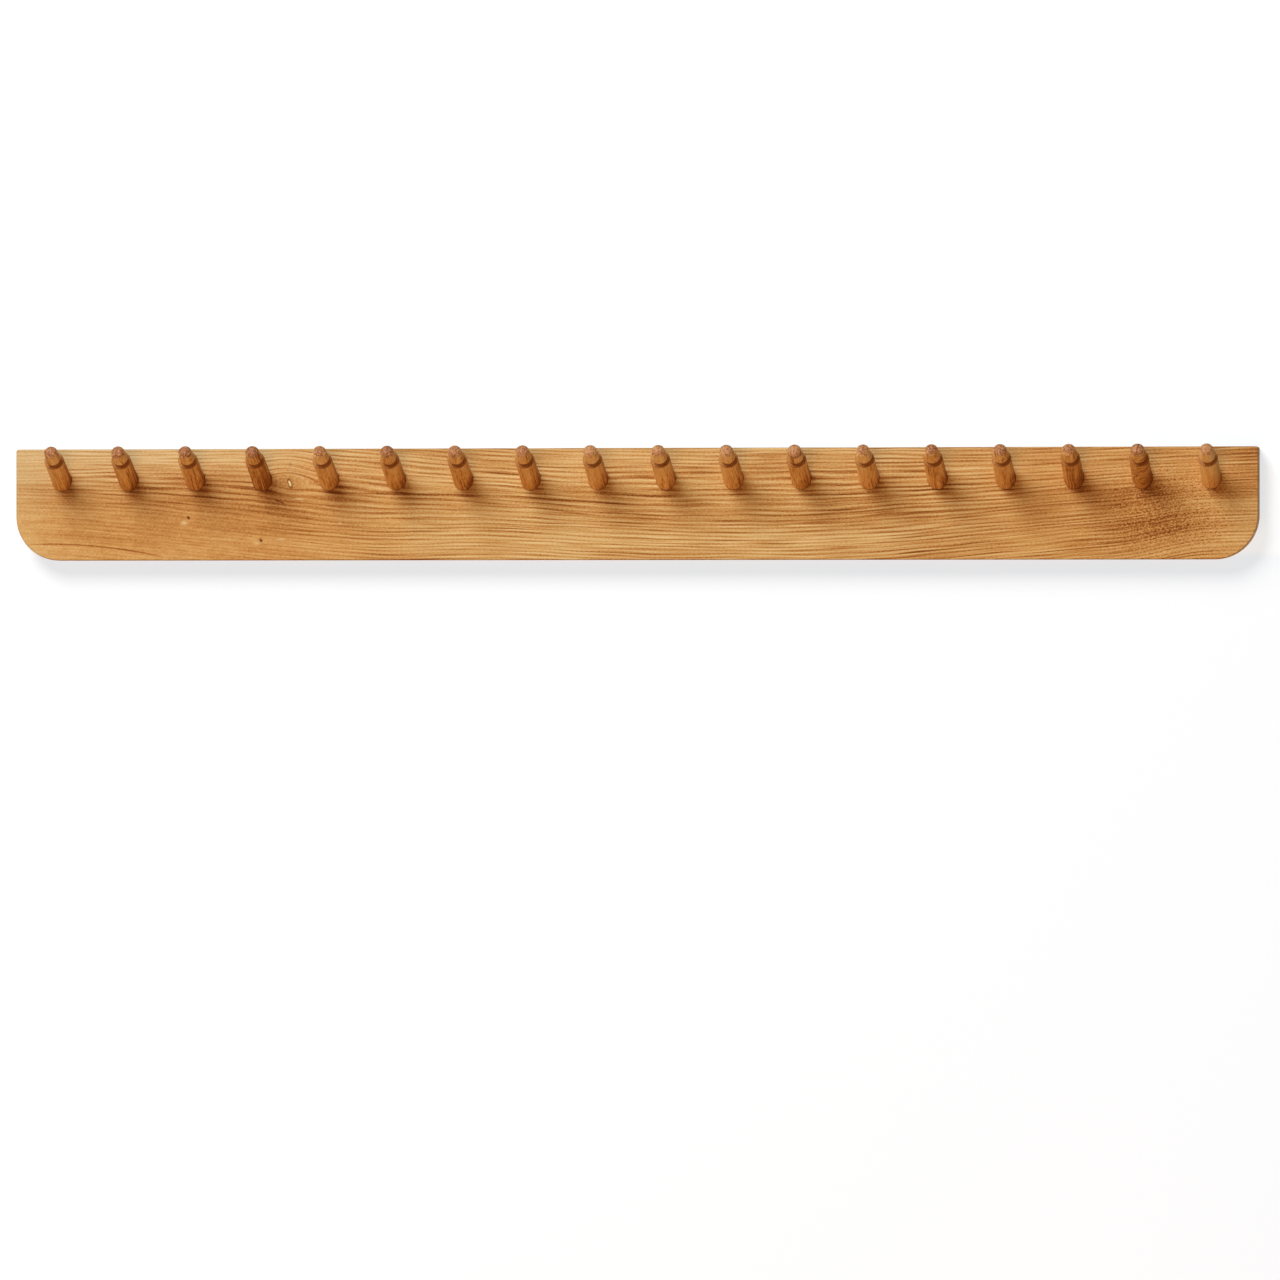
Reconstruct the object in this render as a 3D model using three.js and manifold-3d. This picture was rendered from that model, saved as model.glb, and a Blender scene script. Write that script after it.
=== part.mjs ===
// Wall coat rack: a solid oak board with a row of turned oak pegs that lean upwards.
// It hangs on wall screws by three steel keyhole plates let into its back.
// Millimetres, +Z up, +X to the right. The wall is at +Y and the pegs point to -Y.
// The origin is the centre of the board's back face, which lies against the wall.

import * as THREE from "three";
import { mergeVertices } from "three/addons/utils/BufferGeometryUtils.js";
import Module from "manifold-3d";

// Board
const boardLength = 1220;
const boardHeight = 109;
const boardThickness = 20;
const bottomCornerRadius = 43;
const topCornerRadius = 2.5;
const arrisRadius = 1.2; // the eased edge round both faces
const cornerSteps = 5;
const arrisSteps = 2;

// Row of pegs, measured where the peg's axis meets the board's front face
const pegCount = 18;
const endMargin = 45.6; // board's end to the first peg
const pegDrop = 30; // board's top edge to the row
const pegTilt = THREE.MathUtils.degToRad(25);

// Turned peg, measured along its axis from the board's front face
const pegDiameter = 19.5;
const pegReach = 64.3; // face to tip
const boreDepth = 14.3; // blind bore that holds the peg's foot
const footGap = 0.3; // glue space under the foot
const boreClearance = 0.15; // round the foot
const taperStart = 5; // the body is straight where it leaves the bore
const rimDiameter = 19; // body's outer end
const rimRadius = 0.9; // eases the body's flat shoulder
const grooveWidth = 3.8;
const grooveFillet = 0.6; // where the neck meets the shoulder and the head
const neckDiameter = 12;
const headLength = 16.5; // groove to the tip
const headBaseDiameter = 15.4;
const headRimRadius = 0.8;
const headTopDiameter = 13.2;
const domeHeight = 3.4;
const tipFlatDiameter = 6.4;
const pegSides = 20;
const profileSteps = 2; // along each curve of the profile

// Keyhole plate and the recess that it lies in
const plateLength = 42;
const plateWidth = 16;
const plateThickness = 1.6;
const plateDrop = 26.5; // board's top edge to the plate's middle
const plateSink = 0.2; // plate's face below the board's back
const plateGap = 0.3; // round the plate
const entryDiameter = 10; // lets the wall screw's head in
const entryDrop = 4.5; // below the plate's middle
const slotWidth = 5; // takes the wall screw's shank
const slotTravel = 10; // entry's centre up to the slot's top
const headPocketWidth = 13;
const headPocketDepth = 8; // behind the plate
const headPocketMargin = 1.6; // pocket beyond the keyhole's two ends

// Countersunk wood screws that hold the plate
const screwSpacing = 32;
const screwLength = 14;
const shankDiameter = 3.5;
const screwHeadDiameter = 7;
const screwPointLength = 3;
const screwClearance = 0.15;
const driveWidth = 0.9; // cross recess
const driveSpan = 3.6;
const driveDepth = 1.1;
const screwSides = 16;

const wasm = await Module();
wasm.setup();

// Where the row of pegs and the plates go
const frontY = -boardThickness;
const topZ = boardHeight / 2;
const pegPitch = (boardLength - 2 * endMargin) / (pegCount - 1);
const pegX = (index) => -boardLength / 2 + endMargin + index * pegPitch;
const pegZ = topZ - pegDrop;
const plateZ = topZ - plateDrop;
const plateBackY = -plateSink - plateThickness; // the side that lies on the wood

// Each plate sits halfway between two pegs, clear of their bores
const plateGaps = {
  left: 1,
  middle: Math.floor((pegCount - 2) / 2),
  right: pegCount - 3,
};
const plateX = (gap) => pegX(gap) + pegPitch / 2;

// A three.js geometry as a manifold solid
function toSolid(geometry) {
  const bare = geometry.clone();
  bare.deleteAttribute("normal");
  bare.deleteAttribute("uv");
  const merged = mergeVertices(bare, 1e-4);
  return new wasm.Manifold(
    new wasm.Mesh({
      numProp: 3,
      vertProperties: merged.attributes.position.array,
      triVerts: new Uint32Array(merged.index.array),
    }),
  );
}

// A manifold solid as a three.js geometry
function toGeometry(solid) {
  const mesh = solid.getMesh();
  const geometry = new THREE.BufferGeometry();
  geometry.setAttribute(
    "position",
    new THREE.BufferAttribute(Float32Array.from(mesh.vertProperties), 3),
  );
  geometry.setIndex(new THREE.BufferAttribute(mesh.triVerts, 1));
  geometry.computeVertexNormals();
  return geometry;
}

// A profile of radius and height, turned about the Y axis
const turned = (profile, sides) => new THREE.LatheGeometry(profile, sides);

// A solid cylinder about the Y axis, from one height to another
const turnedCylinder = (radius, from, to, sides) =>
  turned(
    [
      new THREE.Vector2(0, from),
      new THREE.Vector2(radius, from),
      new THREE.Vector2(radius, to),
      new THREE.Vector2(0, to),
    ],
    sides,
  );

// A flat outline drawn in X and Z, given thickness along Y from one plane to another
function slab(outline, fromY, toY) {
  const geometry = new THREE.ExtrudeGeometry(outline, {
    depth: toY - fromY,
    bevelEnabled: false,
    curveSegments: cornerSteps,
  });
  return geometry.rotateX(Math.PI / 2).translate(0, toY, 0);
}

// An upright outline with round ends
function roundEnded(width, bottom, top) {
  const r = width / 2;
  const outline = new THREE.Shape();
  outline.moveTo(r, bottom + r);
  outline.lineTo(r, top - r);
  outline.absarc(0, top - r, r, 0, Math.PI);
  outline.lineTo(-r, bottom + r);
  outline.absarc(0, bottom + r, r, Math.PI, 2 * Math.PI);
  return outline;
}

// The peg's profile, from its foot in the bore to its tip
function pegProfile() {
  const rim = rimDiameter / 2;
  const neck = neckDiameter / 2;
  const headBase = headBaseDiameter / 2;
  const headTop = headTopDiameter / 2;
  const grooveEnd = pegReach - headLength;
  const grooveStart = grooveEnd - grooveWidth;
  const domeStart = pegReach - domeHeight;
  const path = new THREE.Path();
  path.moveTo(0, footGap - boreDepth);
  path.lineTo(pegDiameter / 2, footGap - boreDepth);
  path.lineTo(pegDiameter / 2, taperStart);
  path.lineTo(rim, grooveStart - rimRadius);
  path.quadraticCurveTo(rim, grooveStart, rim - rimRadius, grooveStart);
  path.lineTo(neck + grooveFillet, grooveStart);
  path.lineTo(neck, grooveStart + grooveFillet);
  path.lineTo(neck, grooveEnd - grooveFillet);
  path.lineTo(headBase - headRimRadius, grooveEnd);
  path.lineTo(headBase, grooveEnd + headRimRadius);
  path.lineTo(headTop, domeStart);
  path.quadraticCurveTo(headTop, pegReach - domeHeight / 4, tipFlatDiameter / 2, pegReach);
  path.lineTo(0, pegReach);
  return path.getPoints(profileSteps);
}

// Puts a piece turned about Y on a peg's axis: its foot in the board, its tip up and forward
function onPegAxis(object, index) {
  object.position.set(pegX(index), frontY, pegZ);
  object.rotation.x = Math.PI - pegTilt;
  object.updateMatrix();
  return object;
}

// The blind bore for one peg, run out past the board's face
function pegBore(index) {
  const cutter = turnedCylinder(
    pegDiameter / 2 + boreClearance,
    -boreDepth,
    pegDiameter,
    pegSides,
  );
  const placed = onPegAxis(new THREE.Object3D(), index);
  return toSolid(cutter.applyMatrix4(placed.matrix));
}

// Puts a piece turned about Y on a plate screw's axis, its top facing the wall
const onScrewAxis = (geometry, side) =>
  geometry.translate(0, -plateSink, (side * screwSpacing) / 2);

// The countersunk hole through the plate and the wood behind it
function screwHole(side) {
  const shank = shankDiameter / 2 + screwClearance;
  const head = screwHeadDiameter / 2 + screwClearance;
  const profile = [
    new THREE.Vector2(0, -screwLength - footGap),
    new THREE.Vector2(shank, -screwLength - footGap),
    new THREE.Vector2(shank, shank - head),
    new THREE.Vector2(head, 0),
    new THREE.Vector2(head, plateThickness),
    new THREE.Vector2(0, plateThickness),
  ];
  return toSolid(onScrewAxis(turned(profile, screwSides), side));
}

// The keyhole: a round entry with a narrow slot rising from it
function keyhole() {
  const entryR = entryDiameter / 2;
  const slotR = slotWidth / 2;
  const slotTop = -entryDrop + slotTravel;
  const mouth = Math.asin(slotR / entryR);
  const hole = new THREE.Path();
  hole.absarc(0, -entryDrop, entryR, Math.PI / 2 + mouth, 2.5 * Math.PI - mouth);
  hole.lineTo(slotR, slotTop);
  hole.absarc(0, slotTop, slotR, 0, Math.PI);
  hole.closePath();
  return hole;
}

// One keyhole plate about its own middle, in the board's depth
function keyholePlate() {
  const outline = roundEnded(plateWidth, -plateLength / 2, plateLength / 2);
  outline.holes.push(keyhole());
  let plate = toSolid(slab(outline, plateBackY, -plateSink));
  for (const side of [-1, 1]) plate = plate.subtract(screwHole(side));
  return plate;
}

// What one plate needs cut out of the board's back
function plateRecess(gap) {
  const bed = roundEnded(
    plateWidth + 2 * plateGap,
    -plateLength / 2 - plateGap,
    plateLength / 2 + plateGap,
  );
  const pocket = roundEnded(
    headPocketWidth,
    -entryDrop - entryDiameter / 2 - headPocketMargin,
    -entryDrop + slotTravel + slotWidth / 2 + headPocketMargin,
  );
  let recess = toSolid(slab(bed, plateBackY, plateThickness)).add(
    toSolid(slab(pocket, plateBackY - headPocketDepth, plateThickness)),
  );
  for (const side of [-1, 1]) recess = recess.add(screwHole(side));
  return recess.translate([plateX(gap), 0, plateZ]);
}

// One countersunk screw with a cross recess in its head
function plateScrew(side) {
  const shank = shankDiameter / 2;
  const head = screwHeadDiameter / 2;
  const profile = [
    new THREE.Vector2(0, -screwLength),
    new THREE.Vector2(shank, -screwLength + screwPointLength),
    new THREE.Vector2(shank, shank - head),
    new THREE.Vector2(head, 0),
    new THREE.Vector2(0, 0),
  ];
  let screw = toSolid(onScrewAxis(turned(profile, screwSides), side));
  for (const [x, z] of [
    [driveSpan, driveWidth],
    [driveWidth, driveSpan],
  ]) {
    const bar = new THREE.BoxGeometry(x, 2 * driveDepth, z);
    screw = screw.subtract(toSolid(onScrewAxis(bar, side)));
  }
  return screw;
}

// The board: square-topped, with round bottom corners and eased arrises
function boardBlank() {
  const halfLength = boardLength / 2;
  const r = bottomCornerRadius;
  const t = topCornerRadius;
  const outline = new THREE.Shape();
  outline.moveTo(-halfLength + r, -topZ);
  outline.lineTo(halfLength - r, -topZ);
  outline.absarc(halfLength - r, -topZ + r, r, -Math.PI / 2, 0);
  outline.lineTo(halfLength, topZ - t);
  outline.absarc(halfLength - t, topZ - t, t, 0, Math.PI / 2);
  outline.lineTo(-halfLength + t, topZ);
  outline.absarc(-halfLength + t, topZ - t, t, Math.PI / 2, Math.PI);
  outline.lineTo(-halfLength, -topZ + r);
  outline.absarc(-halfLength + r, -topZ + r, r, Math.PI, 1.5 * Math.PI);
  const geometry = new THREE.ExtrudeGeometry(outline, {
    depth: boardThickness - 2 * arrisRadius,
    curveSegments: cornerSteps,
    bevelThickness: arrisRadius,
    bevelSize: arrisRadius,
    bevelOffset: -arrisRadius,
    bevelSegments: arrisSteps,
  });
  return geometry.rotateX(Math.PI / 2).translate(0, -arrisRadius, 0);
}

function board() {
  let solid = toSolid(boardBlank());
  for (let index = 0; index < pegCount; index++) solid = solid.subtract(pegBore(index));
  for (const gap of Object.values(plateGaps)) solid = solid.subtract(plateRecess(gap));
  return solid;
}

const oak = new THREE.MeshStandardMaterial({ color: 0xc8935a, roughness: 0.6, metalness: 0 });
const pegOak = new THREE.MeshStandardMaterial({ color: 0xb27440, roughness: 0.55, metalness: 0 });
const zincSteel = new THREE.MeshStandardMaterial({ color: 0xb9bcc0, roughness: 0.35, metalness: 1 });

function piece(name, geometry, material) {
  const mesh = new THREE.Mesh(geometry, material);
  mesh.name = name;
  return mesh;
}

const rack = new THREE.Group();
rack.add(piece("board", toGeometry(board()), oak));

for (let index = 0; index < pegCount; index++) {
  const name = `peg_${String(index + 1).padStart(2, "0")}`;
  rack.add(onPegAxis(piece(name, turned(pegProfile(), pegSides), pegOak), index));
}

for (const [place, gap] of Object.entries(plateGaps)) {
  const fitting = new THREE.Group();
  fitting.position.set(plateX(gap), 0, plateZ);
  fitting.add(piece(`hanger_plate_${place}`, toGeometry(keyholePlate()), zincSteel));
  fitting.add(piece(`plate_screw_${place}_upper`, toGeometry(plateScrew(1)), zincSteel));
  fitting.add(piece(`plate_screw_${place}_lower`, toGeometry(plateScrew(-1)), zincSteel));
  rack.add(fitting);
}

export default rack;
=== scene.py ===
import math

import bmesh
import bpy
from mathutils import Euler, Matrix, Vector


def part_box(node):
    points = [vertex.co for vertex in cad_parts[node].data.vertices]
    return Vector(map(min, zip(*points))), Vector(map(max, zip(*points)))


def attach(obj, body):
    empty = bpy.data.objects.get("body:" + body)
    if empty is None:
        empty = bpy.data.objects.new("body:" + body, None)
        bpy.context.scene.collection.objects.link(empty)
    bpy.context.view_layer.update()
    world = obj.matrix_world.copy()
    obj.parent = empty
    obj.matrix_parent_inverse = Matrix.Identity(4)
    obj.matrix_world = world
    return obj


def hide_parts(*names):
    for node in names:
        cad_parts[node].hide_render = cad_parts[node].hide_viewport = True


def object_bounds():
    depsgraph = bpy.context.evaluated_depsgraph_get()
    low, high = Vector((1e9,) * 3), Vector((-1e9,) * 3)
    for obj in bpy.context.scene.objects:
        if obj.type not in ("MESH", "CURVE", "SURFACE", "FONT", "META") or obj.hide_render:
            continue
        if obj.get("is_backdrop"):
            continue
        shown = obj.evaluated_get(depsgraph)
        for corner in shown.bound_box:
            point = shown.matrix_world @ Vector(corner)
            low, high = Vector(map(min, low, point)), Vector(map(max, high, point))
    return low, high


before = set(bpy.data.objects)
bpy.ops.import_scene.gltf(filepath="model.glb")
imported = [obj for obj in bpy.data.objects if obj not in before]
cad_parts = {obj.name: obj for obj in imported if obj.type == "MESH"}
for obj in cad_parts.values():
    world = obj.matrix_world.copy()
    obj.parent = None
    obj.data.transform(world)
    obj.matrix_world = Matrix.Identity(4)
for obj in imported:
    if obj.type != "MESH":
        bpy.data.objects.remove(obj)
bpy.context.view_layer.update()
MM = 0.001

# The camera stands nine and a half metres off, to the right of the rack and a little below it.
# The long lens keeps the board's ends nearly the same height, and the pegs lean to the left.
camera_place = Vector((1.3214, -9.52, -0.1324))
camera_turn = math.radians(7.871)
lens_mm = 277.26
sensor_mm = 36

lens = bpy.data.cameras.new("camera")
lens.lens = lens_mm
lens.sensor_width = sensor_mm
lens.clip_start = 0.1
lens.clip_end = 100
camera = bpy.data.objects.new("camera", lens)
camera.location = camera_place
camera.rotation_euler = Euler((math.pi / 2, 0, camera_turn))
bpy.context.scene.collection.objects.link(camera)
bpy.context.scene.camera = camera


# The board: one length of oak, planed, with its bottom corners sawn round and both faces' edges eased.
# Blind bores take the pegs' feet, and three recesses in the back take the keyhole plates. The oak is
# oiled: thin dark growth lines run along it, parted by knots and crossed by slow bands of tone.
board_low, board_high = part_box("board")
bottom_corner_radius = 43 * MM
top_corner_radius = 2.5 * MM
arris_radius = 1.2 * MM
corner_steps = 28
arris_steps = 4

peg_names = [f"peg_{number:02d}" for number in range(1, 19)]
peg_tilt = math.radians(25)
row_below_top = 30 * MM
bore_radius = 9.9 * MM
bore_depth = 14.3 * MM
bore_cutter = bore_depth * 2.5
bore_sides = 48

plate_places = ("left", "middle", "right")
screw_places = ("upper", "lower")
bed_gap = 0.3 * MM
past_back = 5 * MM
pocket_width = 13 * MM
pocket_ends = (-11.1 * MM, 9.6 * MM)
pocket_depth = 8 * MM
pocket_overlap = 1 * MM
pilot_radius = 1.9 * MM
pilot_depth = 14.3 * MM
pilot_sides = 24


def at_peg_seat(name):
    """Puts the peg's own axis, its foot at the bottom and its tip at the top, where that peg goes."""
    low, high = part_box(name)
    seat = Vector(((low.x + high.x) / 2, board_low.y, board_high.z - row_below_top))
    return Matrix.Translation(seat) @ Matrix.Rotation(math.pi / 2 - peg_tilt, 4, "X")


def corner(centre, radius, start, steps):
    """A quarter circle of points, from one compass angle to the next."""
    angles = [math.radians(start + 90 * step / steps) for step in range(steps + 1)]
    return [centre + radius * Vector((math.cos(a), 0, math.sin(a))) for a in angles]


def board_outline(inset, depth):
    """The board's outline, drawn in from its edges, at one depth."""
    points = []
    for x, z, radius, start in (
        (board_high.x, board_high.z, top_corner_radius, 0),
        (board_low.x, board_high.z, top_corner_radius, 90),
        (board_low.x, board_low.z, bottom_corner_radius, 180),
        (board_high.x, board_low.z, bottom_corner_radius, 270),
    ):
        centre = Vector((x - math.copysign(radius, x), depth, z - math.copysign(radius, z)))
        steps = corner_steps if radius == bottom_corner_radius else arris_steps
        points += corner(centre, radius - inset, start, steps)
    return points


def round_ended(width, bottom, top, depth):
    """An upright outline with round ends, about the middle of a keyhole plate."""
    radius = width / 2
    low = Vector((0, depth, bottom + radius))
    high = Vector((0, depth, top - radius))
    ends = corner(high, radius, 0, 8) + corner(high, radius, 90, 8)[1:]
    return ends + corner(low, radius, 180, 8) + corner(low, radius, 270, 8)[1:]


def stack(mesh, loops):
    """Joins loops of points one behind the other into a closed solid."""
    rings = [[mesh.verts.new(point) for point in loop] for loop in loops]
    for near, far in zip(rings, rings[1:]):
        for i in range(len(near)):
            j = (i + 1) % len(near)
            mesh.faces.new((near[i], far[i], far[j], near[j]))
    mesh.faces.new(rings[0])
    mesh.faces.new(rings[-1][::-1])


def made_object(name, mesh, smooth_under=30):
    """An object from a finished mesh, smooth where its faces meet at less than the given angle."""
    bmesh.ops.recalc_face_normals(mesh, faces=mesh.faces)
    data = bpy.data.meshes.new(name)
    mesh.to_mesh(data)
    mesh.free()
    data.shade_smooth()
    data.set_sharp_from_angle(angle=math.radians(smooth_under))
    made = bpy.data.objects.new(name, data)
    bpy.context.scene.collection.objects.link(made)
    return made


def cut_away(solid, cutter):
    """Cuts one object out of another and leaves only the cut one."""
    cut = solid.modifiers.new("cut", "BOOLEAN")
    cut.object = cutter
    cut.solver = "EXACT"
    shapes = bpy.context.evaluated_depsgraph_get()
    shapes.update()
    result = bpy.data.meshes.new_from_object(solid.evaluated_get(shapes))
    solid.modifiers.clear()
    solid.data = result
    bpy.data.objects.remove(cutter)


def drill(mesh, radius, length, sides, place):
    """Adds a straight round cutter, set in place about its own middle."""
    made = bmesh.ops.create_cone(
        mesh,
        cap_ends=True,
        segments=sides,
        radius1=radius,
        radius2=radius,
        depth=length,
    )
    bmesh.ops.transform(mesh, matrix=place, verts=made["verts"])


def recess(mesh, middle, width, ends, depths):
    """Adds a round-ended cutter between two depths, about the middle of a keyhole plate."""
    loops = [round_ended(width, *ends, depth) for depth in depths]
    stack(mesh, [[point + middle for point in loop] for loop in loops])


blank = bmesh.new()
ease = [math.radians(90 * step / arris_steps) for step in range(arris_steps + 1)]
arris = [(arris_radius * (1 - math.sin(a)), arris_radius * (1 - math.cos(a))) for a in ease]
front = [(inset, board_low.y + depth) for inset, depth in arris]
back = [(inset, board_high.y - depth) for inset, depth in reversed(arris)]
stack(blank, [board_outline(inset, depth) for inset, depth in front + back])
board = made_object("oak_board", blank)

cutters = bmesh.new()
into_board = Matrix.Translation((0, 0, bore_cutter / 2 - bore_depth))
for name in peg_names:
    drill(cutters, bore_radius, bore_cutter, bore_sides, at_peg_seat(name) @ into_board)
level = Matrix.Rotation(math.pi / 2, 4, "X")
for place in plate_places:
    low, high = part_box(f"hanger_plate_{place}")
    middle = Vector(((low.x + high.x) / 2, 0, (low.z + high.z) / 2))
    bed_width = high.x - low.x + 2 * bed_gap
    bed_half = (high.z - low.z) / 2 + bed_gap
    bed_depths = (low.y, board_high.y + past_back)
    recess(cutters, middle, bed_width, (-bed_half, bed_half), bed_depths)
    pocket_depths = (low.y - pocket_depth, low.y + pocket_overlap)
    recess(cutters, middle, pocket_width, pocket_ends, pocket_depths)
    for side in screw_places:
        low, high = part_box(f"plate_screw_{place}_{side}")
        at_screw = Vector(((low.x + high.x) / 2, -pilot_depth / 2, (low.z + high.z) / 2))
        drill(cutters, pilot_radius, pilot_depth, pilot_sides, Matrix.Translation(at_screw) @ level)
cut_away(board, made_object("cutters", cutters))
weigh = board.modifiers.new("flat faces stay flat", "WEIGHTED_NORMAL")
weigh.keep_sharp = True


class Varying:
    """A value, colour or vector that changes over a surface, held as one socket of a node."""

    def __init__(self, nodes, socket):
        self.nodes = nodes
        self.socket = socket

    def maths(self, operation, *others):
        return self.nodes.node("ShaderNodeMath", {"operation": operation}, [self, *others])

    def swapped(self, operation, first):
        return self.nodes.node("ShaderNodeMath", {"operation": operation}, [first, self])

    def __add__(self, other):
        return self.maths("ADD", other)

    def __radd__(self, other):
        return self.maths("ADD", other)

    def __sub__(self, other):
        return self.maths("SUBTRACT", other)

    def __rsub__(self, other):
        return self.swapped("SUBTRACT", other)

    def __mul__(self, other):
        return self.maths("MULTIPLY", other)

    def __rmul__(self, other):
        return self.maths("MULTIPLY", other)

    def __truediv__(self, other):
        return self.maths("DIVIDE", other)

    def __rtruediv__(self, other):
        return self.swapped("DIVIDE", other)

    def size(self):
        return self.maths("ABSOLUTE")

    def bell(self):
        """One where the value is nought, fading on both sides."""
        return (self * self * -1).maths("EXPONENT")

    def wave(self, period):
        """Swings between one and minus one, once in each period."""
        return (self * (2 * math.pi / period)).maths("COSINE")

    def step(self, start, end):
        """Rises smoothly from nought at start to one at end."""
        span = {"Value": self, "From Min": start, "From Max": end}
        return self.nodes.node("ShaderNodeMapRange", {"interpolation_type": "SMOOTHSTEP"}, span)


class Nodes:
    """A tree of shader nodes, each made by one method."""

    def __init__(self, tree):
        self.tree = tree

    def node(self, kind, settings, sockets, output=0):
        made = self.tree.nodes.new(kind)
        for key, value in settings.items():
            if key == "stops":
                self.set_stops(made.color_ramp, value)
            else:
                setattr(made, key, value)
        keyed = sockets.items() if isinstance(sockets, dict) else enumerate(sockets)
        for key, value in keyed:
            self.feed(made.inputs[key], value)
        return Varying(self, made.outputs[output])

    def set_stops(self, ramp, stops):
        while len(ramp.elements) < len(stops):
            ramp.elements.new(0.5)
        for element, (place, colour) in zip(ramp.elements, stops):
            element.position = place
            element.color = (*colour, 1)

    def feed(self, socket, value):
        if isinstance(value, Varying):
            self.tree.links.new(value.socket, socket)
        else:
            socket.default_value = value

    def blend(self, amount, below, above, how="MIX"):
        settings = {"data_type": "RGBA", "blend_type": how}
        return self.node("ShaderNodeMix", settings, {0: amount, 6: below, 7: above}, 2)


class Finish(Nodes):
    """A material, with the patterns that its surface needs."""

    def __init__(self, name):
        self.material = bpy.data.materials.new(name)
        self.material.use_nodes = True
        super().__init__(self.material.node_tree)
        self.shader = self.tree.nodes["Principled BSDF"]

    def parts(self, vector):
        return [self.node("ShaderNodeSeparateXYZ", {}, [vector], i) for i in range(3)]

    def place_mm(self):
        """Where a point of the surface lies, in millimetres from the centre of the board's back."""
        spot = self.node("ShaderNodeTexCoord", {}, {}, "Object")
        scaled = {"operation": "SCALE"}
        return self.node("ShaderNodeVectorMath", scaled, {0: spot, "Scale": 1 / MM})

    def noise(self, x, y, z, detail=0.0):
        """Cloudy noise about nought, mostly within half either way."""
        spot = self.node("ShaderNodeCombineXYZ", {}, [x, y, z])
        sockets = {"Vector": spot, "Scale": 1.0, "Detail": detail, "Roughness": 0.5}
        return self.node("ShaderNodeTexNoise", {}, sockets) - 0.5

    def ramp(self, value, stops):
        return self.node("ShaderNodeValToRGB", {"stops": stops}, [value])

    def bump(self, height, distance):
        sockets = {"Height": height, "Distance": distance, "Strength": 0.5}
        self.feed(self.shader.inputs["Normal"], self.node("ShaderNodeBump", {}, sockets))


oak_stops = (
    (0.00, (0.190, 0.050, 0.010)),
    (0.25, (0.390, 0.142, 0.031)),
    (0.50, (0.570, 0.276, 0.081)),
    (0.75, (0.685, 0.410, 0.154)),
    (1.00, (0.775, 0.530, 0.241)),
)
# the growth lines' spacing in mm, and how fast they shift from the board's front to its back
line_spacing = 3.6
ring_slope = 0.8
lower_drops = (
    # where along the board the grain starts and stops falling, and how far it falls, all in mm
    (-620, -220, 29),
    (-150, 60, 8),
    (140, 640, -32),
    (470, 560, -9),
)
upper_drops = (
    (-400, -20, 20),
    (300, 640, -12),
)
upper_to_lower = (50, -30)
lively_bands = (
    # centre along the board and half length, in mm; how much stronger the growth lines are there
    (262, 80, 0.12),
    (400, 50, -0.06),
)
# the knot, the two pin knots and the scar above the knot: half widths, half heights and slants
knot_place = (-337.5, 20.6)
knot_shape = (1.25, 2.9, 0.28)
pin_knots = ((-438.2, -12.7), (-366.2, -34.9))
pin_shape = (1.7, 1.9, 0.3)
scar_offset = (0.4, 18.6)
scar_shape = (1.5, 1.5)
arches = (
    # which way the grain is pushed, how far, how wide, how tall, all in mm
    (1, 6.5, 24, 40),
    (-1, 2.6, 14, 12),
)
streaks = (
    # both its ends, how far it bows up between them, its half thickness, all in mm; its tone
    (-594, -38.6, -466, -50.6, 4.0, 0.75, -0.42),
    (-605, 3.3, -492, 0.6, 0.0, 0.7, -0.28),
    (-308, 12.1, 12, -0.6, 1.0, 0.9, -0.36),
    (-234, 7.1, -43, -9.9, 2.0, 0.7, -0.20),
    (-352, 4.4, -343, 1.2, 0.0, 0.8, -0.42),
    (137, -0.5, 294, 9.0, -1.5, 0.8, -0.32),
    (137, -2.9, 294, 6.6, -1.5, 0.6, 0.22),
    (-34, -31.9, 162, -36.5, -1.0, 0.6, -0.24),
    (151, -21.2, 213, -21.2, 0.0, 0.7, 0.30),
    (-98, -1.6, 24, -11.6, 0.0, 5.0, -0.12),
)
patches = (
    # centre along the board, centre up it, half length, half height, all in mm; its tone
    (-378, 4, 116, 25, -0.22),
    (-500, 50, 150, 13, 0.34),
    (-608, -10, 22, 60, 0.12),
    (20, -40, 340, 17, 0.12),
    (-340, -34, 55, 22, -0.07),
    (-357, 12, 12, 5, 0.14),
    (-470, -30, 80, 25, -0.05),
    (-270, 18, 45, 10, -0.09),
    (-230, 38, 90, 12, -0.09),
    (-74, -17, 150, 10, 0.07),
    (555, 5, 22, 25, 0.08),
    (270, -25, 200, 40, -0.035),
    # a darker belt under the row of pegs: partly the grain's own tone, partly painted shade from their
    # soft shadows
    (150, -4, 280, 12, -0.10),
    (-140, 0, 120, 20, 0.05),
    (505, -14, 58, 30, -0.24),
    (560, 44, 40, 10, 0.06),
    (606, 36, 26, 26, -0.20),
    (602, -18, 30, 40, 0.12),
)
cream_marks = (
    # centre along the board, centre up it, half length, half height, all in mm; how strong
    (-442.6, -17.8, 2.8, 1.9, 0.75),
    (-370.0, -38.0, 2.6, 1.3, 0.45),
    (-328.0, 5.4, 4.2, 0.8, 0.80),
    (-346.0, -34.0, 4.0, 0.9, 0.60),
    (-288.0, -18.4, 1.6, 0.9, 0.60),
)
# zones of the board, in mm: where each starts and where it is full, along the board or up it
calm_along = (-220, -400)
calm_up = (16, -12)
faint_end = (-520, -600)
# the painted sheen's zone over the left end, along the board and up it
sheen_along = (-120, -590)
sheen_up = (-30, 36)
pale_top = (5, 50)
clear_from = (-340, -180)
clear_to = (420, 260)
# the coarse patch near the right end: its centre, half length and half height, in mm
coarse_patch = (528, -10, 70, 50)

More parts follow.
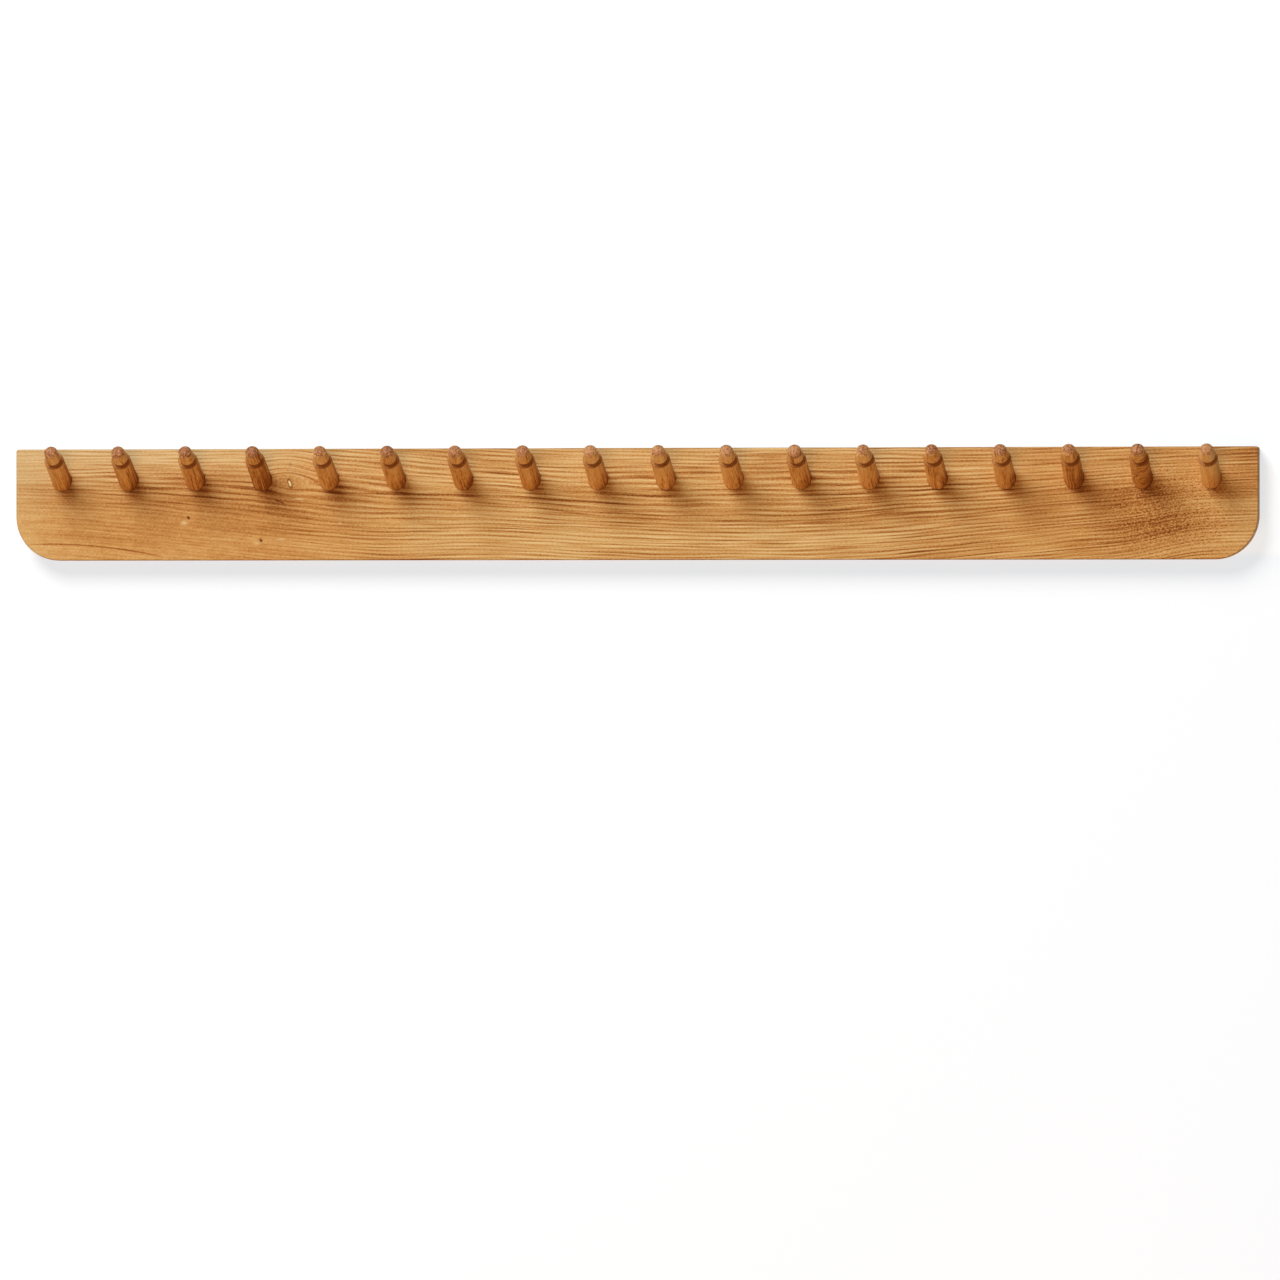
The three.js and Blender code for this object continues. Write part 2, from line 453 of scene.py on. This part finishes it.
board_tone = 0.56
cream = (0.80, 0.585, 0.300, 1)
knot_brown = (0.150, 0.042, 0.009, 1)
knot_heart = (0.86, 0.640, 0.300, 1)
arris_brown = (0.235, 0.085, 0.026, 1)
end_brown = (0.245, 0.100, 0.034, 1)
# painted light: the right end, which is in shade, is given a paler oak
right_end_painted_light = (0.780, 0.430, 0.190, 1)
amber_tint = (1, 0.92, 0.83, 1)
# painted sheen over the left end, which also pales the top a little
sheen_and_pale_tint = (0.91, 1, 1.2, 1)

# the pegs' seats and the painted shadow under each foot, in mm, and the depths where the front's marks
# fade
peg_pitch = 66.4
row_height = 24.5
seat_shape = (9.9, 10.9)
foot_shadow_offset = (5.5, -9)
foot_shadow_shape = (8.5, 9.5)
front_fade = (-16, -19)


def arched(x, z, centre_x, centre_z, side, lift, width, reach):
    """How far the grain is pushed away from a knot, on one side of it."""
    away = ((z - centre_z) * side).maths("MAXIMUM", 0)
    rise = 1 - (away * (-1 / 4)).maths("EXPONENT")
    fade = (away * (-1 / reach)).maths("EXPONENT")
    return rise * fade * ((x - centre_x) / width).bell() * (lift * side)


def oval(x, z, centre_x, centre_z, half_width, half_height, slant=0.0):
    """How far a point is from a spot's centre, one at its edge."""
    up = (z - centre_z) / half_height
    along = (x - centre_x + (z - centre_z) * slant) / half_width
    return (up * up + along * along).maths("SQRT")


def grain(oak, x, y, z):
    """Where a point lies across the growth lines, in mm, and how far they wander there."""
    lower = sum(x.step(start, end) * drop for start, end, drop in lower_drops)
    upper = sum(x.step(start, end) * drop for start, end, drop in upper_drops)
    drop = upper + (lower - upper) * z.step(*upper_to_lower)
    wander = oak.noise(x / 120, y / 60, z / 30) * 2.6 + oak.noise(x / 34, y / 30, z / 11) * 1.1
    across = z + drop + wander
    for arch in arches:
        across = across - arched(x, z, *knot_place, *arch)
    return across + (y - board_low.y / MM) * ring_slope, wander


def grown_tone(oak, x, y, z, ring):
    """The tone of the growth lines, the fibres and the slow clouds, calmer or coarser by zone."""
    coarse = oval(x, z, *coarse_patch).bell()
    calm = x.step(*calm_along) * z.step(*calm_up)
    lined = (1 - calm * 0.66) * (1 - x.step(*faint_end) * 0.45)
    lively = sum(((x - centre) / half).bell() * share for centre, half, share in lively_bands)

    sway = oak.noise(x / 150, y / 60, ring / 7.5) * 3.4 + oak.noise(x / 60, y / 30, ring / 3) * 0.8
    force = 0.62 + oak.noise(x / 70, y / 30, ring / 4.2 + 60) * 1.5
    lines = (ring + sway).wave(line_spacing) * force
    hairs = oak.noise(x / 38, y / 20, ring / 0.95)
    dark = oak.noise(x / 85, y / 30, ring / 1.2 + 40).step(0.12, 0.34)
    bands = oak.noise(x / 170, y / 40, ring / 13, 1.0)
    fibre = oak.noise(x / 2.4, y / 2, ring / 0.8, 1.0)
    flecks = oak.noise(x / 1.7, y / 1.7, ring / 1.3)
    dots = oak.noise(x / 2.2, y / 2.2, ring / 1.3 + 17).step(0.06, 0.26) * lines.step(0.35, -0.5)
    clouds = oak.noise(x / 110, y / 80, z / 20, 2.0)
    mottle = oak.noise(x / 9, y / 9, z / 4.5, 2.0)

    drawn = (lines * (0.26 + lively) + hairs * 0.66) * (1 - coarse * 0.55)
    tone = board_tone + (drawn - dark * 0.22 * (1 - coarse * 0.7)) * lined + fibre * 0.62
    return tone + bands * 0.48 + (flecks - dots * 0.42) * coarse + clouds * 0.26 + calm * mottle * 0.3


def streaked(tone, x, z, wander):
    """The tone with the board's own patches and streaks added to it."""
    for *spot, shade in patches:
        tone = tone + oval(x, z, *spot).bell() * shade
    for start_x, start_z, end_x, end_z, bow, half, shade in streaks:
        share = (x - start_x) / (end_x - start_x)
        middle = start_z + share * (end_z - start_z) + share * (1 - share) * (4 * bow)
        reach = share.step(-0.06, 0.12) * share.step(1.06, 0.88)
        tone = tone + ((z + wander * 0.25 - middle) / half).bell() * reach * shade
    return tone


def round_pegs(tone, x, z, on_front):
    """The tone with painted shade round each peg's foot: a dark glue seam kept to its shaded low right,
    and a painted shadow below it.
    """
    half_row = peg_pitch * len(peg_names) / 2
    along_row = ((x + half_row) / peg_pitch).maths("FRACT") * peg_pitch
    right = along_row - peg_pitch / 2
    above = z - row_height
    low_right = (right - above).step(-6, 12)
    # painted shade: the seam shows only on the low right, and a painted shadow lies below the foot
    seam_and_shade = oval(right, above, 0, 0, *seat_shape).step(1.05, 1.01) * low_right
    painted_foot_shadow = oval(right, above, *foot_shadow_offset, *foot_shadow_shape).bell()
    return tone - (seam_and_shade * 0.45 + painted_foot_shadow * 0.26) * on_front


def knotted(oak, colour, x, z):
    """The colour with the cream marks, the pin knots and the knot drawn over it."""
    for *spot, strength in cream_marks:
        colour = oak.blend(oval(x, z, *spot).bell() * strength, colour, cream)
    for centre_x, centre_z in pin_knots:
        pin = oval(x, z, centre_x, centre_z, *pin_shape)
        colour = oak.blend(pin.step(1.35, 0.45) * 0.95, colour, knot_brown)
    knot = oval(x, z, *knot_place, *knot_shape)
    colour = oak.blend(((knot - 1.5) / 0.42).bell() * 0.72, colour, knot_brown)
    colour = oak.blend(knot.step(1.15, 0.65), colour, knot_heart)
    scar_place = (near + offset for near, offset in zip(knot_place, scar_offset))
    scar = oval(x, z, *scar_place, *scar_shape)
    return oak.blend(scar.bell() * 0.4, colour, knot_brown)


def tinted(oak, colour, x, z, on_front):
    """The colour more amber towards both ends, with a painted sheen over the left end, paler towards
    the top.
    """
    amber = 1 - x.step(*clear_from) * x.step(*clear_to)
    colour = oak.blend(amber * 0.8, colour, amber_tint, "MULTIPLY")
    sheen_end = x.step(*sheen_along) * (z.step(*sheen_up) * 0.75 + x.step(*faint_end) * 0.25)
    sheen_and_pale_top = (sheen_end + z.step(*pale_top) * 0.22) * on_front
    return oak.blend(sheen_and_pale_top, colour, sheen_and_pale_tint, "MULTIPLY")


def edged(oak, colour):
    """The colour with browner arrises and ends, and painted light on the shaded right end."""
    facing = oak.parts(oak.node("ShaderNodeNewGeometry", {}, {}, "Normal"))
    flat = facing[1].size()
    colour = oak.blend(flat * (1 - flat) * 4 * 0.24, colour, arris_brown)
    colour = oak.blend(facing[0].size().step(0.35, 0.9) * 0.4, colour, end_brown)
    return oak.blend(facing[0].step(0.35, 0.9) * 0.6, colour, right_end_painted_light)


def board_oak():
    oak = Finish("board_oak")
    x, y, z = oak.parts(oak.place_mm())
    on_front = y.step(*front_fade)
    ring, wander = grain(oak, x, y, z)
    tone = streaked(grown_tone(oak, x, y, z, ring), x, z, wander)
    tone = round_pegs(tone, x, z, on_front)
    colour = knotted(oak, oak.ramp(tone, oak_stops), x, z)
    colour = edged(oak, tinted(oak, colour, x, z, on_front))
    oak.feed(oak.shader.inputs["Base Color"], colour)
    oak.feed(oak.shader.inputs["Roughness"], 0.64 - tone * 0.12)
    oak.shader.inputs["Specular IOR Level"].default_value = 0.06
    oak.bump(tone, 0.12 * MM)
    return oak.material


board.data.materials.clear()
board.data.materials.append(board_oak())
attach(board, "root")
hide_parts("board")


# The pegs: eighteen turned oak pegs, each glued full width into its bore and leaning up. Each has a
# body that tapers a little to a flat shoulder, a narrow neck that holds the coat's loop, and a head
# with a domed end. The end grain on the dome takes up more oil, so it is redder than the sides.
body_radius = 9.75 * MM
rim_radius = 9.5 * MM
rim_easing = 0.9 * MM
neck_radius = 6 * MM
head_base_radius = 7.7 * MM
head_top_radius = 6.56 * MM
head_easing = 0.8 * MM
foot_end = -14 * MM
foot_chamfer = 0.6 * MM
taper_start = 5 * MM
rim_start = 43.1 * MM
groove_start = 44 * MM
groove_end = 47.8 * MM
fillet = 0.6 * MM
dome_start = 61.3 * MM
dome_easing = 0.4 * MM
dome_sphere = 8.67 * MM
dome_half_width = 6.25 * MM
dome_steps = 8
peg_reach = 64.3 * MM
peg_sides = 64


def curve(start, control, end, steps):
    """Points along a smooth bend, without its first one."""
    points = []
    for step in range(1, steps + 1):
        t = step / steps
        points.append(start.lerp(control, t).lerp(control.lerp(end, t), t))
    return points


def peg_profile():
    """Radius and height along the peg's axis, from its foot to its tip."""
    rim = Vector((rim_radius, rim_start))
    shoulder_start = Vector((rim_radius - rim_easing, groove_start))
    shoulder_end = Vector((neck_radius + fillet, groove_start))
    neck_start = Vector((neck_radius, groove_start + fillet))
    neck_end = Vector((neck_radius, groove_end - fillet))
    head_start = Vector((neck_radius + fillet, groove_end))
    head_foot = Vector((head_base_radius - head_easing, groove_end))
    head_edge = Vector((head_base_radius, groove_end + head_easing))
    dome_edge = Vector((head_top_radius, dome_start))
    side_end = dome_edge - (dome_edge - head_edge).normalized() * dome_easing
    round_from = math.asin(dome_half_width / dome_sphere)
    dome = [
        Vector((dome_sphere * math.sin(a), peg_reach - dome_sphere * (1 - math.cos(a))))
        for a in (round_from * (1 - step / dome_steps) for step in range(dome_steps + 1))
    ]
    profile = [
        Vector((0, foot_end)),
        Vector((body_radius - foot_chamfer, foot_end)),
        Vector((body_radius, foot_end + foot_chamfer)),
        Vector((body_radius, taper_start)),
        rim,
    ]
    profile += curve(rim, Vector((rim_radius, groove_start)), shoulder_start, 6) + [shoulder_end]
    profile += curve(shoulder_end, Vector((neck_radius, groove_start)), neck_start, 4) + [neck_end]
    profile += curve(neck_end, Vector((neck_radius, groove_end)), head_start, 4) + [head_foot]
    profile += curve(head_foot, Vector((head_base_radius, groove_end)), head_edge, 5) + [side_end]
    return profile + curve(side_end, dome_edge, dome[0], 5) + dome[1:]


def turned_peg(name):
    """One peg, turned about its axis and set in its bore."""
    mesh = bmesh.new()
    profile = [mesh.verts.new((radius, 0, height)) for radius, height in peg_profile()]
    edges = [mesh.edges.new(pair) for pair in zip(profile, profile[1:])]
    bmesh.ops.spin(
        mesh,
        geom=profile + edges,
        cent=(0, 0, 0),
        axis=(0, 0, 1),
        angle=2 * math.pi,
        steps=peg_sides,
    )
    bmesh.ops.remove_doubles(mesh, verts=mesh.verts, dist=1e-6)
    bmesh.ops.transform(mesh, matrix=at_peg_seat(name), verts=mesh.verts)
    return made_object(f"turned_{name}", mesh, 50)


peg_stops = (
    (0.00, (0.283, 0.082, 0.014)),
    (0.25, (0.546, 0.198, 0.040)),
    (0.50, (0.772, 0.338, 0.084)),
    (0.75, (0.872, 0.436, 0.128)),
    (1.00, (0.950, 0.535, 0.190)),
)
end_grain_stops = (
    (0.00, (0.135, 0.033, 0.010)),
    (0.50, (0.385, 0.132, 0.042)),
    (1.00, (0.590, 0.280, 0.108)),
)
# the shoulder's brown: a little for its darker end grain, the rest painted shade in the groove
groove_shade_brown = (0.330, 0.095, 0.018, 1)
peg_tone = 0.53
# how far each peg's grain is turned and moved from the last one's
grain_turn = math.radians(47)
grain_apart = 31.7
# where the shoulder's brown starts along the axis and where it ends, in mm: end grain under painted
# groove shade
groove_shade_from = (42.0, 43.0)
groove_shade_to = (49.0, 47.9)
# how much paler each peg and each cap is than the rest, by its number from the left
peg_shades = {
    1: 0.07, 2: -0.12, 3: -0.07, 4: -0.2, 5: 0.04, 7: -0.05, 9: 0.04, 10: 0.18, 11: 0.13,
    12: -0.02, 13: 0.14, 14: -0.06, 15: 0.05, 16: -0.16, 17: -0.19, 18: 0.24,
}
cap_shades = {
    3: -0.1, 4: -0.15, 5: -0.04, 6: -0.08, 7: 0.1, 9: 0.24, 10: 0.22, 11: 0.26, 12: 0.24,
    13: 0.07, 14: -0.06, 15: 0.1, 16: 0.06, 18: 0.22,
}
# where the caps' end grain starts along the axis, in mm, and how much later or earlier on some
cap_start = 61.2
short_by = 0.7
long_by = 3.4
short_caps = (5, 13, 14, 16)
long_caps = (12,)
checked_caps = (2, 7, 13, 14, 15, 17)
scratched_caps = (9, 14, 17, 18)
swirled_peg = 17


def in_peg(oak, name):
    """Where a point lies in its peg, in mm: to the right of its axis, above it and along it."""
    inverse = at_peg_seat(name).inverted()
    sockets = {
        "Vector": oak.place_mm(),
        "Location": inverse.to_translation() / MM,
        "Rotation": inverse.to_euler(),
    }
    return oak.parts(oak.node("ShaderNodeMapping", {"vector_type": "POINT"}, sockets))


def side_tone(oak, number, side, along, ring, depth, away):
    """The tone and fine grain of a peg's sides, with painted light near the head and on the left,
    painted shade by the foot.
    """
    lines = oak.noise(ring / 1.15, depth / 6 + away, along / 42)
    dark = oak.noise(ring / 0.8, depth / 3 + away, along / 30 + 9).step(0.10, 0.28)
    bands = oak.noise(ring / 3.6, depth / 12 + away, along / 80)
    fine = oak.noise(ring / 0.5, depth / 0.9 + away, along / 8)
    drawn = lines * 0.74 + bands * 0.48 + fine * 0.74 - dark * 0.2
    tone = peg_tone + peg_shades.get(number, 0) + drawn * (1 + along.step(46, 49) * 0.45)
    # painted light: paler towards the head, and a painted highlight along the left side
    tone = tone + along.step(34, 52) * 0.21 + ((side + 5) / 2.2).bell() * 0.08
    # painted shade by the foot, most on the right, and a little all round it
    painted_foot_shade = along.step(36, -4) * (side * 0.1).step(-0.6, 1.0) * 0.38
    return tone - painted_foot_shade - along.step(20, -4) * 0.05, fine


def cap_tone(oak, number, along, ring, across, depth, bend, away):
    """The tone of a peg's end grain, with its rays and with any checks and scratches."""
    rays = oak.noise(across / 1.0 + away, depth / 3.2, along / 4, 1.0) * 1.7
    rings = oak.noise(ring / 0.9, depth / 1.6 + away, along / 3, 1.0) * 1.6
    tone = peg_tone + cap_shades.get(number, 0) + rings + rays
    if number in checked_caps:
        tone = tone - ((depth + bend) / 0.42).bell() * 0.3
        tone = tone - ((across + bend - 1.5) / 0.3).bell() * 0.2
    if number in scratched_caps:
        tone = tone + ((across + depth * 0.6 + bend + 2.2) / 0.36).bell() * 0.4
    return tone


def peg_oak(name, number):
    oak = Finish(f"peg_oak_{number:02d}")
    side, up, along = in_peg(oak, name)
    turn = grain_turn * number
    across = side * math.cos(turn) + up * math.sin(turn)
    depth = up * math.cos(turn) - side * math.sin(turn)
    away = grain_apart * number
    wander = oak.noise(side / 18 + away, up / 18, along / 35) * 2.2
    ring = across + depth * depth * 0.02 + wander
    if number == swirled_peg:
        ring = oval(side, along, 3, 12, 1.2, 1.6) + wander * 0.4
    tone, fine = side_tone(oak, number, side, along, ring, depth, away)

    # painted shade on the cap's rim: a dark ring, strongest low on its right, and a darker edge above
    from_axis = (side * side + up * up).maths("SQRT")
    low_right = ((side - up) * 0.0725).step(-0.9, 1.1)
    painted_rim_shade = ((from_axis - 5.6) / 0.8).bell() * (0.04 + low_right * 0.11)
    painted_rim_shade = painted_rim_shade + from_axis.step(4.8, 6.5) * (up * 0.16).step(-0.1, 0.7) * 0.3
    bend = oak.noise(side / 3 + away, up / 3, along / 9) * 2.6
    ends = cap_tone(oak, number, along, ring, across, depth, bend, away) - painted_rim_shade
    starts = cap_start + short_by * (number in short_caps) - long_by * (number in long_caps)
    ragged = along + oak.noise(across / 1.6 + away, depth / 1.6, along / 3) * 3.0
    end_grain = ragged.step(starts - 1.6, starts + 1.4)

    colour = oak.blend(end_grain, oak.ramp(tone, peg_stops), oak.ramp(ends, end_grain_stops))
    # the shoulder's darker end grain, with painted shade in the groove under the head, most low on its
    # right
    shoulder = along.step(*groove_shade_from) * along.step(*groove_shade_to)
    end_grain_and_groove_shade = shoulder * (0.72 + low_right * 0.16 + fine * 0.8)
    oak.feed(oak.shader.inputs["Base Color"], oak.blend(end_grain_and_groove_shade, colour, groove_shade_brown))
    oak.feed(oak.shader.inputs["Roughness"], 0.60 - tone * 0.1 + end_grain * 0.06)
    oak.feed(oak.shader.inputs["Coat Weight"], end_grain * 0.28)
    oak.shader.inputs["Coat Roughness"].default_value = 0.5
    oak.shader.inputs["Specular IOR Level"].default_value = 0.06
    oak.bump(tone, 0.1 * MM)
    return oak.material


for number, name in enumerate(peg_names, 1):
    peg = turned_peg(name)
    peg.data.materials.append(peg_oak(name, number))
    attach(peg, "root")
    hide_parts(name)


# The keyhole plates and their screws: stamped steel plates let in flush with the board's back, each
# held by two countersunk screws. The plates are zinc plated, a cool grey with faint cloudy spangle,
# and the screws are duller.
plate_zinc = ((0.24, 0.25, 0.28), (0.50, 0.51, 0.53))
screw_zinc = ((0.13, 0.13, 0.14), (0.30, 0.29, 0.28))


def zinc_plating(name, dark, light):
    zinc = Finish(name)
    x, y, z = zinc.parts(zinc.place_mm())
    spangle = zinc.noise(x / 2.5, y / 2.5, z / 2.5, 2.0)
    rolled = zinc.noise(x / 0.3, y / 0.3, z / 9)
    tone = 0.55 + spangle * 0.8 + rolled * 0.35
    zinc.feed(zinc.shader.inputs["Base Color"], zinc.ramp(tone, ((0.0, dark), (1.0, light))))
    zinc.feed(zinc.shader.inputs["Roughness"], 0.42 - tone * 0.16)
    zinc.shader.inputs["Metallic"].default_value = 1.0
    zinc.bump(rolled, 0.03 * MM)
    return zinc.material


plate_finish = zinc_plating("plate_zinc", *plate_zinc)
screw_finish = zinc_plating("screw_zinc", *screw_zinc)
for place in plate_places:
    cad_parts[f"hanger_plate_{place}"].material_slots[0].material = plate_finish
    for side in screw_places:
        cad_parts[f"plate_screw_{place}_{side}"].material_slots[0].material = screw_finish


# The wall and the floor: a white wall right behind the rack, which takes its soft shadow, and a white
# floor well below. Each shows from its front only, so the rack's back can be seen. Their colours undo
# the lamps' tints, and the wall glows a little more above the rack's bottom edge than below it, which
# paints its shadow beside the rack lighter than the one under it.
wall_gap = 0.6 * MM
wall_reach = 6
floor_drop = 1.6
floor_reach = 14
# the heights, in mm, over which the wall's look changes, and the looks, each a colour and a glow
wall_change = (-54, -44)
wall_below = ((0.510, 0.386, 0.322, 1), (0.510, 0.636, 0.708, 1))
wall_above = ((0.510, 0.431, 0.376, 1), (0.588, 0.658, 0.700, 1))
floor_white = ((0.250, 0.224, 0.200, 1), (0.930, 0.930, 0.930, 1))


def one_sided_white(name, below, above):
    white = Finish(name)
    white.shader.inputs["Roughness"].default_value = 1.0
    white.shader.inputs["Specular IOR Level"].default_value = 0.0
    white.shader.inputs["Emission Strength"].default_value = 1.0
    height = white.parts(white.place_mm())[2].step(*wall_change)
    white.feed(white.shader.inputs["Base Color"], white.blend(height, below[0], above[0]))
    white.feed(white.shader.inputs["Emission Color"], white.blend(height, below[1], above[1]))
    behind = white.node("ShaderNodeNewGeometry", {}, {}, "Backfacing")
    clear = white.node("ShaderNodeBsdfTransparent", {}, {})
    shown = Varying(white, white.shader.outputs[0])
    mixed = white.node("ShaderNodeMixShader", {}, [behind, shown, clear])
    white.feed(white.tree.nodes["Material Output"].inputs["Surface"], mixed)
    return white.material


def studio_sheet(name, corners, material):
    mesh = bmesh.new()
    mesh.faces.new([mesh.verts.new(point) for point in corners])
    data = bpy.data.meshes.new(name)
    mesh.to_mesh(data)
    mesh.free()
    data.materials.append(material)
    sheet = bpy.data.objects.new(name, data)
    sheet.visible_shadow = False
    sheet.visible_diffuse = False
    sheet.visible_glossy = False
    bpy.context.scene.collection.objects.link(sheet)
    sheet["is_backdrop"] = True


wall_foot = board_low.z - floor_drop
studio_sheet(
    "wall",
    [
        (-wall_reach, wall_gap, wall_foot),
        (wall_reach, wall_gap, wall_foot),
        (wall_reach, wall_gap, wall_reach),
        (-wall_reach, wall_gap, wall_reach),
    ],
    one_sided_white("wall_white", wall_below, wall_above),
)
studio_sheet(
    "floor",
    [
        (-floor_reach, -floor_reach, wall_foot),
        (floor_reach, -floor_reach, wall_foot),
        (floor_reach, floor_reach, wall_foot),
        (-floor_reach, floor_reach, wall_foot),
    ],
    one_sided_white("floor_white", floor_white, floor_white),
)


# The light: one large soft window high on the left, a weak broad fill from low in front, and an even
# room. The window is slightly cool, and it alone makes the pegs' shadows, down and to the right. The
# fill is warm. A third lamp behind the rack lights its back, and the board keeps it off the front.
def soft_light(name, place, size, power, tint):
    lamp = bpy.data.lights.new(name, "AREA")
    lamp.color = tint
    lamp.shape = "DISK"
    lamp.size = size
    lamp.energy = power
    light = bpy.data.objects.new(name, lamp)
    light.location = place
    light.rotation_euler = (-Vector(place)).to_track_quat("-Z", "Y").to_euler()
    bpy.context.scene.collection.objects.link(light)
    return light


soft_light("window", (-2.44, -4.2, 4.53), size=3.8, power=542, tint=(0.738, 0.874, 1))
soft_light("fill", (-0.2, -3.6, -2.35), size=3.5, power=80.6, tint=(1, 0.70, 0.42))
back_light = soft_light("back", (0.5, 4.0, -0.8), size=3.0, power=130, tint=(1, 0.96, 0.92))
back_light.visible_glossy = False

room_tint = (0.170, 0.156, 0.143, 1)
seen_white = (1, 1, 1, 1)
room = bpy.data.worlds.new("room")
room.use_nodes = True
backdrop = Nodes(room.node_tree)
straight, mirrored, through = (
    backdrop.node("ShaderNodeLightPath", {}, {}, f"Is {kind} Ray")
    for kind in ("Camera", "Glossy", "Transmission")
)
seen = straight.maths("MAXIMUM", mirrored).maths("MAXIMUM", through)
shown = backdrop.blend(seen, room_tint, seen_white)
backdrop.feed(room.node_tree.nodes["Background"].inputs["Color"], shown)
bpy.context.scene.world = room
bpy.context.scene.view_settings.view_transform = "Standard"

low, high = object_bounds()
